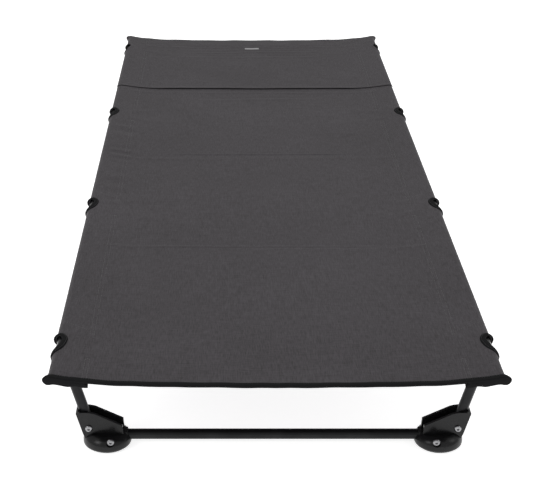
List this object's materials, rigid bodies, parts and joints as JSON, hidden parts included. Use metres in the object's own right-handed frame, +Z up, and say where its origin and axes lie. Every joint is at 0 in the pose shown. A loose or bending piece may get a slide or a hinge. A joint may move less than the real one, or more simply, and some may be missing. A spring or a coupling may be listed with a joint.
{
  "type": "folding camp cot",
  "caption": "Low folding camp cot: dark grey cloth bed on side poles, carried by black leg bows with round feet and inward-folding legs.",
  "frame": {"origin": "centre of the cot on the floor", "axes": "+Z up; +Y along the cot from the foot end to the head end, where the pillow pocket is; +X to the right when looking along +Y"},
  "size_m": [0.6492, 1.9, 0.1716],
  "materials": {
    "black_tube": "semi-gloss black anodised aluminium tube",
    "black_plastic": "moulded glass-filled nylon, fine texture",
    "pad_rubber": "matt black rubber",
    "bright_steel": "bright zinc-plated steel",
    "bare_aluminium": "bare drawn aluminium",
    "elastic_cord": "braided elastic cord",
    "binding_tape": "black woven binding tape",
    "label_cloth": "plain light grey woven label",
    "bed_cloth": "dark grey coated polyester, plain weave"
  },
  "bodies": {
    "leg_bows": {"crossbar_1": "black_tube", "crossbar_2": "black_tube", "crossbar_3": "black_tube", "crossbar_4": "black_tube", "crossbar_bolts": "bright_steel", "crossbar_nuts": "bright_steel", "foot_bracket_left_1": "black_plastic", "foot_bracket_left_2": "black_plastic", "foot_bracket_left_3": "black_plastic", "foot_bracket_left_4": "black_plastic", "foot_bracket_right_1": "black_plastic", "foot_bracket_right_2": "black_plastic", "foot_bracket_right_3": "black_plastic", "foot_bracket_right_4": "black_plastic", "foot_pads_1": "pad_rubber", "foot_pads_2": "pad_rubber", "foot_pads_3": "pad_rubber", "foot_pads_4": "pad_rubber", "pivot_bolts": "bright_steel", "pivot_nuts": "bright_steel"},
    "deck": {"bed_sheet": "bed_cloth", "foot_binding": "binding_tape", "head_binding": "binding_tape", "pillow_pocket": "bed_cloth", "pole_cord_left": "elastic_cord", "pole_cord_right": "elastic_cord", "pole_end_caps": "black_plastic", "pole_ferrules_left": "bare_aluminium", "pole_ferrules_right": "bare_aluminium", "pole_left_section_1": "black_tube", "pole_left_section_2": "black_tube", "pole_left_section_3": "black_tube", "pole_left_section_4": "black_tube", "pole_right_section_1": "black_tube", "pole_right_section_2": "black_tube", "pole_right_section_3": "black_tube", "pole_right_section_4": "black_tube", "window_bindings": "binding_tape", "woven_label": "label_cloth"},
    "leg_left_1": {"leg_tube_left_1": "black_tube", "leg_saddle_left_1": "black_plastic"},
    "leg_left_2": {"leg_tube_left_2": "black_tube", "leg_saddle_left_2": "black_plastic"},
    "leg_left_3": {"leg_tube_left_3": "black_tube", "leg_saddle_left_3": "black_plastic"},
    "leg_left_4": {"leg_tube_left_4": "black_tube", "leg_saddle_left_4": "black_plastic"},
    "leg_right_1": {"leg_tube_right_1": "black_tube", "leg_saddle_right_1": "black_plastic"},
    "leg_right_2": {"leg_tube_right_2": "black_tube", "leg_saddle_right_2": "black_plastic"},
    "leg_right_3": {"leg_tube_right_3": "black_tube", "leg_saddle_right_3": "black_plastic"},
    "leg_right_4": {"leg_tube_right_4": "black_tube", "leg_saddle_right_4": "black_plastic"}
  },
  "joints": [
    {"name": "deck_lift", "type": "slide", "parent": "leg_bows", "child": "deck", "axis": [0, 0, 1], "range_m": [0, 0.15]},
    {"name": "leg_fold_left_1", "type": "hinge", "parent": "leg_bows", "child": "leg_left_1", "pos_m": [-0.277, -0.84, 0.032], "axis": [0, 1, 0], "range_deg": [0, 101]},
    {"name": "leg_fold_left_2", "type": "hinge", "parent": "leg_bows", "child": "leg_left_2", "pos_m": [-0.277, -0.28, 0.032], "axis": [0, 1, 0], "range_deg": [0, 101]},
    {"name": "leg_fold_left_3", "type": "hinge", "parent": "leg_bows", "child": "leg_left_3", "pos_m": [-0.277, 0.28, 0.032], "axis": [0, 1, 0], "range_deg": [0, 101]},
    {"name": "leg_fold_left_4", "type": "hinge", "parent": "leg_bows", "child": "leg_left_4", "pos_m": [-0.277, 0.84, 0.032], "axis": [0, 1, 0], "range_deg": [0, 101]},
    {"name": "leg_fold_right_1", "type": "hinge", "parent": "leg_bows", "child": "leg_right_1", "pos_m": [0.277, -0.84, 0.032], "axis": [0, -1, 0], "range_deg": [0, 101]},
    {"name": "leg_fold_right_2", "type": "hinge", "parent": "leg_bows", "child": "leg_right_2", "pos_m": [0.277, -0.28, 0.032], "axis": [0, -1, 0], "range_deg": [0, 101]},
    {"name": "leg_fold_right_3", "type": "hinge", "parent": "leg_bows", "child": "leg_right_3", "pos_m": [0.277, 0.28, 0.032], "axis": [0, -1, 0], "range_deg": [0, 101]},
    {"name": "leg_fold_right_4", "type": "hinge", "parent": "leg_bows", "child": "leg_right_4", "pos_m": [0.277, 0.84, 0.032], "axis": [0, -1, 0], "range_deg": [0, 101]}
  ]
}
